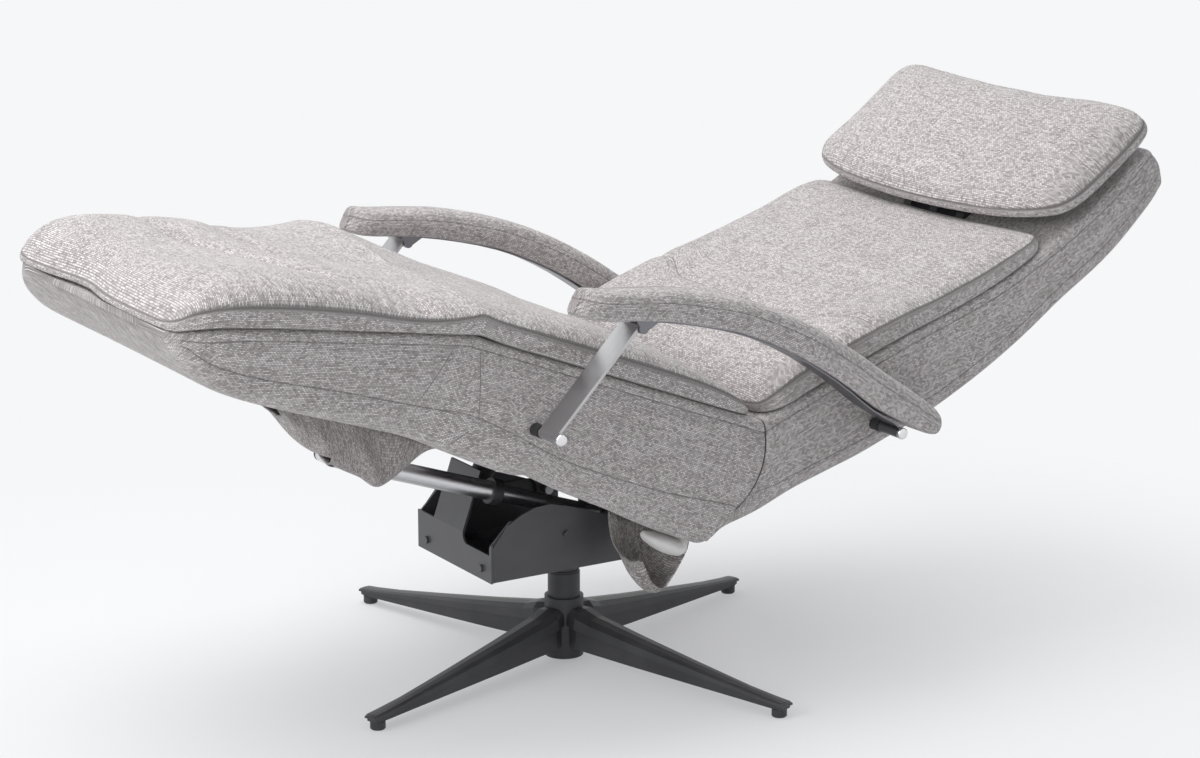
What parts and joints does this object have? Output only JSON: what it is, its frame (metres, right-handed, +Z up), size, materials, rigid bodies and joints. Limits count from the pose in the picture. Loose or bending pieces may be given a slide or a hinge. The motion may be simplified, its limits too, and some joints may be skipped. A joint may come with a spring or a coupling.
{
  "type": "swivel recliner",
  "caption": "Upholstered swivel recliner on a star base, with tilting seat, folding back and leg rest on hinged frames, a tilting head pillow, strut-carried armrests and actuators below.",
  "frame": {"origin": "on the floor at the swivel axis", "axes": "+Z up, -Y towards the leg rest, +X the sitter's left"},
  "size_m": [0.7956, 1.6357, 0.7792],
  "materials": {
    "black_metal": "satin powder coat",
    "black_plastic": "matte",
    "pin_steel": "turned",
    "chrome": "polished",
    "silver_tube": "satin anodised",
    "strut_steel": "brushed along its length",
    "strip_steel": "dark, brushed",
    "cloth": "warm grey melange weave",
    "cloth_shade": "warm grey melange weave, inner side"
  },
  "bodies": {
    "base": {"base_star": "black_metal", "glides": "black_plastic", "column_tube": "black_metal", "column_bush": "black_plastic"},
    "carriage": {"turning_post": "black_metal", "post_plate": "black_metal", "box_channel": "black_metal", "box_front_plate": "black_metal", "box_side_plates": "black_metal", "box_screws": "black_metal", "tilt_pins": "pin_steel", "tilt_ears": "black_metal"},
    "seat": {"seat_frame_plates": "black_metal", "seat_cross_tubes": "black_metal", "tilt_brackets": "black_metal", "motor_bracket": "black_metal", "actuator_lugs": "black_metal", "seat_shell": "cloth", "seat_pad": "cloth", "knee_gusset": "cloth", "rear_flap": "cloth_shade", "leg_hinge_pins": "pin_steel", "back_hinge_pins": "pin_steel", "strut_pins": "pin_steel", "strut_spacers": "black_plastic", "strut_caps": "chrome"},
    "leg_rest": {"leg_frame": "black_metal", "leg_shell": "cloth", "leg_pad": "cloth", "front_flap": "cloth_shade", "cover_clips": "pin_steel"},
    "leg_actuator": {"actuator_motor": "black_plastic", "actuator_inner_tube": "silver_tube"},
    "leg_actuator_rod": {"actuator_outer_tube": "silver_tube", "actuator_collar": "black_plastic"},
    "back": {"back_frame": "black_metal", "back_shell": "cloth", "back_pad": "cloth", "arm_pins": "pin_steel", "arm_spacers": "black_plastic", "arm_caps": "chrome", "headrest_hinge": "black_metal"},
    "headrest": {"headrest_plate": "black_metal", "headrest_pillow": "cloth"},
    "arm_left": {"arm_strip_left": "strip_steel", "arm_pad_left": "cloth"},
    "arm_right": {"arm_strip_right": "strip_steel", "arm_pad_right": "cloth"},
    "strut_left": {"front_strut_left": "strut_steel"},
    "strut_right": {"front_strut_right": "strut_steel"},
    "tilt_motor": {"tilt_motor": "black_plastic"},
    "tilt_rod": {"tilt_rod": "silver_tube"},
    "recline_motor": {"recline_motor": "black_plastic"},
    "recline_rod": {"recline_rod": "silver_tube"}
  },
  "joints": [
    {"name": "swivel", "type": "hinge", "parent": "base", "child": "carriage", "pos_m": [0, 0, 0.1], "axis": [0, 0, 1], "continuous": true},
    {"name": "seat_tilt", "type": "hinge", "parent": "carriage", "child": "seat", "pos_m": [0, 0.028, 0.232], "axis": [1, 0, 0], "range_deg": [0, 15]},
    {"name": "leg_lift", "type": "hinge", "parent": "seat", "child": "leg_rest", "pos_m": [0, -0.31602, 0.55444], "axis": [1, 0, 0], "range_deg": [0, 72], "deforming": ["knee_gusset", "front_flap"]},
    {"name": "back_recline", "type": "hinge", "parent": "seat", "child": "back", "pos_m": [0, 0.03995, 0.3799], "axis": [1, 0, 0], "range_deg": [0, 28]},
    {"name": "headrest_tilt", "type": "hinge", "parent": "back", "child": "headrest", "pos_m": [0, 0.67617, 0.62055], "axis": [1, 0, 0], "range_deg": [0, 15]},
    {"name": "leg_motor_pivot", "type": "hinge", "parent": "seat", "child": "leg_actuator", "pos_m": [0, 0.115, 0.2], "axis": [1, 0, 0], "range_deg": [-16.5, 0]},
    {"name": "leg_motor_rod", "type": "slide", "parent": "leg_actuator", "child": "leg_actuator_rod", "axis": [0, -0.9452, 0.3264], "range_m": [-0.195, 0]},
    {"name": "tilt_motor_pivot", "type": "hinge", "parent": "carriage", "child": "tilt_motor", "pos_m": [0, -0.158, 0.206], "axis": [1, 0, 0], "range_deg": [0, 3.6]},
    {"name": "tilt_motor_rod", "type": "slide", "parent": "tilt_motor", "child": "tilt_rod", "axis": [0, 0.5494, 0.8356], "range_m": [-0.0385, 0]},
    {"name": "recline_motor_pivot", "type": "hinge", "parent": "seat", "child": "recline_motor", "pos_m": [0, -0.19497, 0.45171], "axis": [1, 0, 0], "range_deg": [0, 3.2]},
    {"name": "recline_motor_rod", "type": "slide", "parent": "recline_motor", "child": "recline_rod", "axis": [0, 0.8376, -0.5463], "range_m": [0, 0.031]},
    {"name": "arm_left_pivot", "type": "hinge", "parent": "back", "child": "arm_left", "pos_m": [0.333, 0.34802, 0.37698], "axis": [1, 0, 0], "range_deg": [-15.2, 0]},
    {"name": "arm_right_pivot", "type": "hinge", "parent": "back", "child": "arm_right", "pos_m": [-0.333, 0.34802, 0.37698], "axis": [1, 0, 0], "range_deg": [-15.2, 0]},
    {"name": "strut_left_pivot", "type": "hinge", "parent": "seat", "child": "strut_left", "pos_m": [0.333, -0.21796, 0.44776], "axis": [1, 0, 0], "range_deg": [0, 24.6]},
    {"name": "strut_right_pivot", "type": "hinge", "parent": "seat", "child": "strut_right", "pos_m": [-0.333, -0.21796, 0.44776], "axis": [1, 0, 0], "range_deg": [0, 24.6]}
  ],
  "couplings": [
    {"joint": "leg_motor_pivot", "follows": "leg_lift", "ratio": -0.22528},
    {"joint": "leg_motor_rod", "follows": "leg_lift", "m_per_rad": -0.15453},
    {"joint": "tilt_motor_pivot", "follows": "seat_tilt", "ratio": 0.23325},
    {"joint": "tilt_motor_rod", "follows": "seat_tilt", "m_per_rad": -0.14516},
    {"joint": "recline_motor_pivot", "follows": "back_recline", "ratio": 0.11187},
    {"joint": "recline_motor_rod", "follows": "back_recline", "m_per_rad": 0.06255},
    {"joint": "arm_left_pivot", "follows": "back_recline", "ratio": -0.535},
    {"joint": "arm_right_pivot", "follows": "back_recline", "ratio": -0.535},
    {"joint": "strut_left_pivot", "follows": "back_recline", "ratio": 0.868},
    {"joint": "strut_right_pivot", "follows": "back_recline", "ratio": 0.868}
  ]
}
